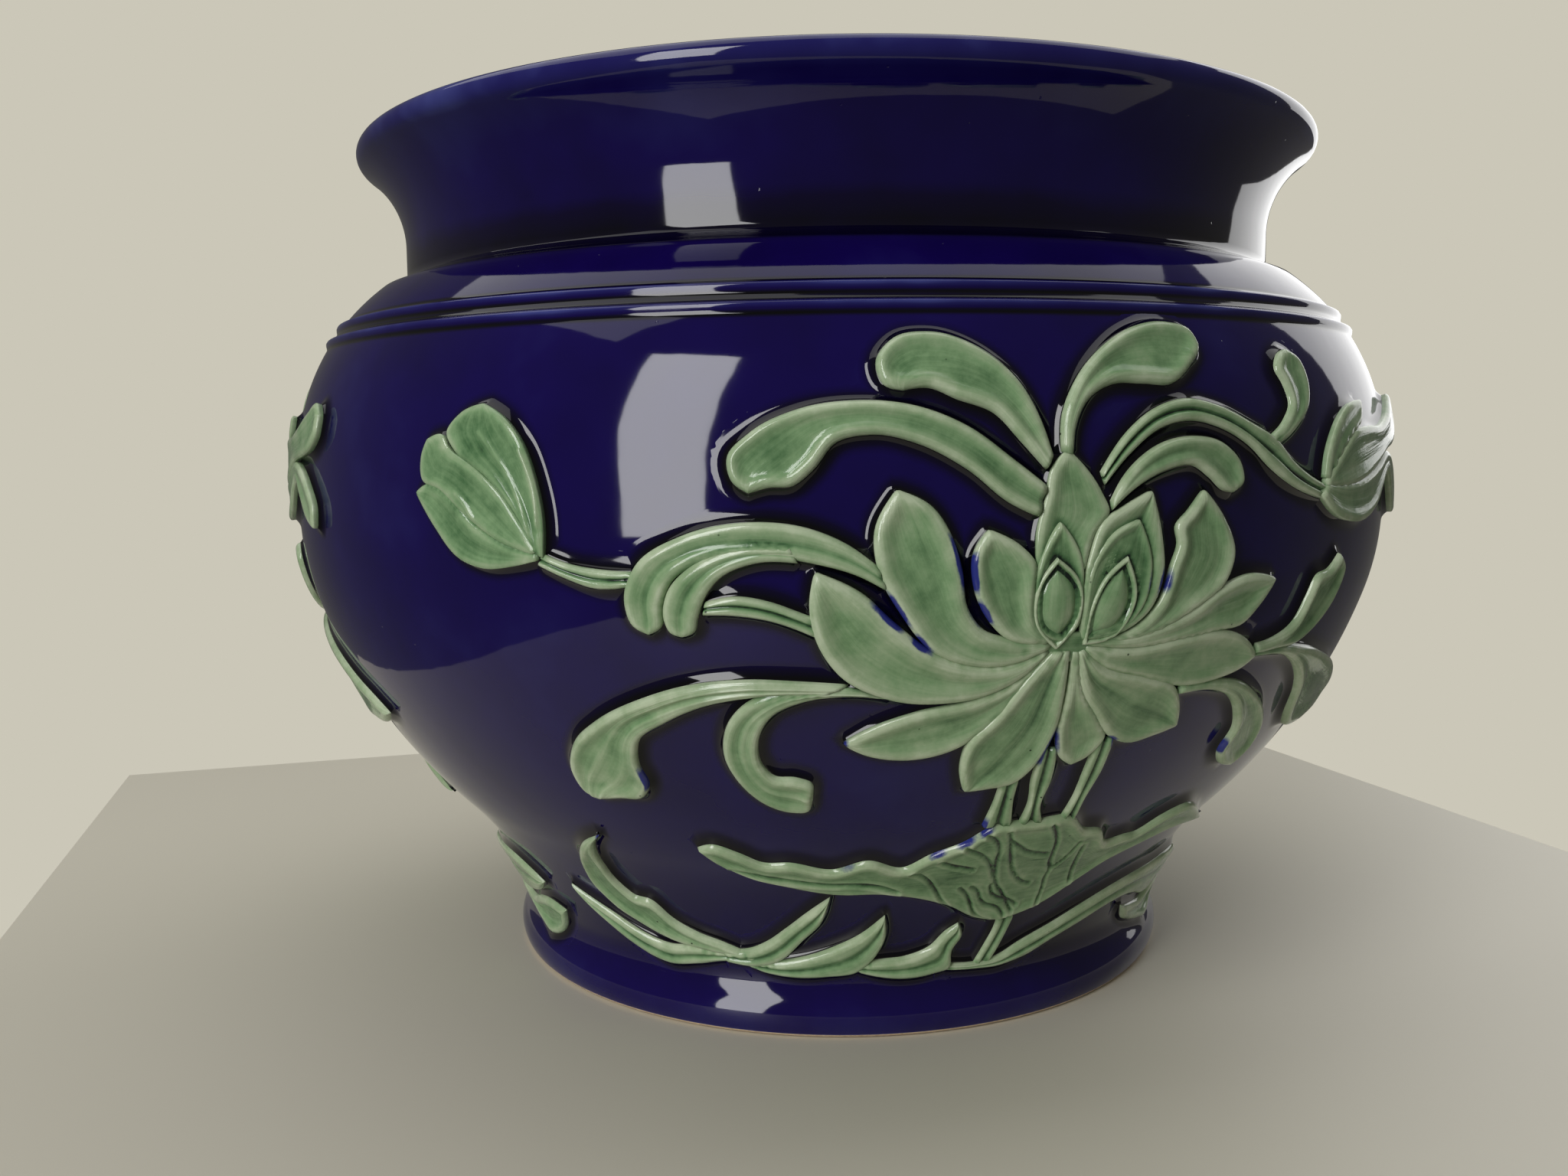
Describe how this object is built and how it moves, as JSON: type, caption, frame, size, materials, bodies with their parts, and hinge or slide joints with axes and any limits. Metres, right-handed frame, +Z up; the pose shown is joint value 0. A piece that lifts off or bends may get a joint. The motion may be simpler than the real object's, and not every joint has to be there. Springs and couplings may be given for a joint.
{
  "type": "relief-decorated planter pot",
  "caption": "Round-bellied glazed planter pot with a rolled foot, beaded shoulder, short collar and turned-out lip, dressed with separate water-lily relief sprigs",
  "frame": {"origin": "centre of the foot ring, on the ground plane that the pot stands on", "axes": "+Z up along the pot's axis; -Y faces the centre line of the first flower; +X to the right seen from that side"},
  "size_m": [0.358, 0.3566, 0.2589],
  "materials": {
    "cobalt_glaze": "gloss",
    "green_glaze": "gloss"
  },
  "bodies": {
    "root": {"pot_body": "cobalt_glaze", "flower_1": "green_glaze", "arching_leaf_1": "green_glaze", "long_leaf_1": "green_glaze", "top_left_leaf_1": "green_glaze", "top_right_leaf_1": "green_glaze", "small_leaf_1": "green_glaze", "left_bud_1": "green_glaze", "left_bud_stem_1": "green_glaze", "right_bud_1": "green_glaze", "right_bud_stem_1": "green_glaze", "side_leaf_1": "green_glaze", "low_side_leaf_1": "green_glaze", "drooping_leaf_1": "green_glaze", "lily_pad_1": "green_glaze", "frond_1": "green_glaze", "base_runner_1": "green_glaze", "pad_stem_1": "green_glaze", "drop_leaf_1": "green_glaze", "flower_2": "green_glaze", "arching_leaf_2": "green_glaze", "long_leaf_2": "green_glaze", "top_left_leaf_2": "green_glaze", "top_right_leaf_2": "green_glaze", "small_leaf_2": "green_glaze", "left_bud_2": "green_glaze", "left_bud_stem_2": "green_glaze", "right_bud_2": "green_glaze", "right_bud_stem_2": "green_glaze", "side_leaf_2": "green_glaze", "low_side_leaf_2": "green_glaze", "drooping_leaf_2": "green_glaze", "lily_pad_2": "green_glaze", "frond_2": "green_glaze", "base_runner_2": "green_glaze", "pad_stem_2": "green_glaze", "drop_leaf_2": "green_glaze", "flower_3": "green_glaze", "arching_leaf_3": "green_glaze", "long_leaf_3": "green_glaze", "top_left_leaf_3": "green_glaze", "top_right_leaf_3": "green_glaze", "small_leaf_3": "green_glaze", "left_bud_3": "green_glaze", "left_bud_stem_3": "green_glaze", "right_bud_3": "green_glaze", "right_bud_stem_3": "green_glaze", "side_leaf_3": "green_glaze", "low_side_leaf_3": "green_glaze", "drooping_leaf_3": "green_glaze", "lily_pad_3": "green_glaze", "frond_3": "green_glaze", "base_runner_3": "green_glaze", "pad_stem_3": "green_glaze", "drop_leaf_3": "green_glaze"}
  },
  "joints": []
}
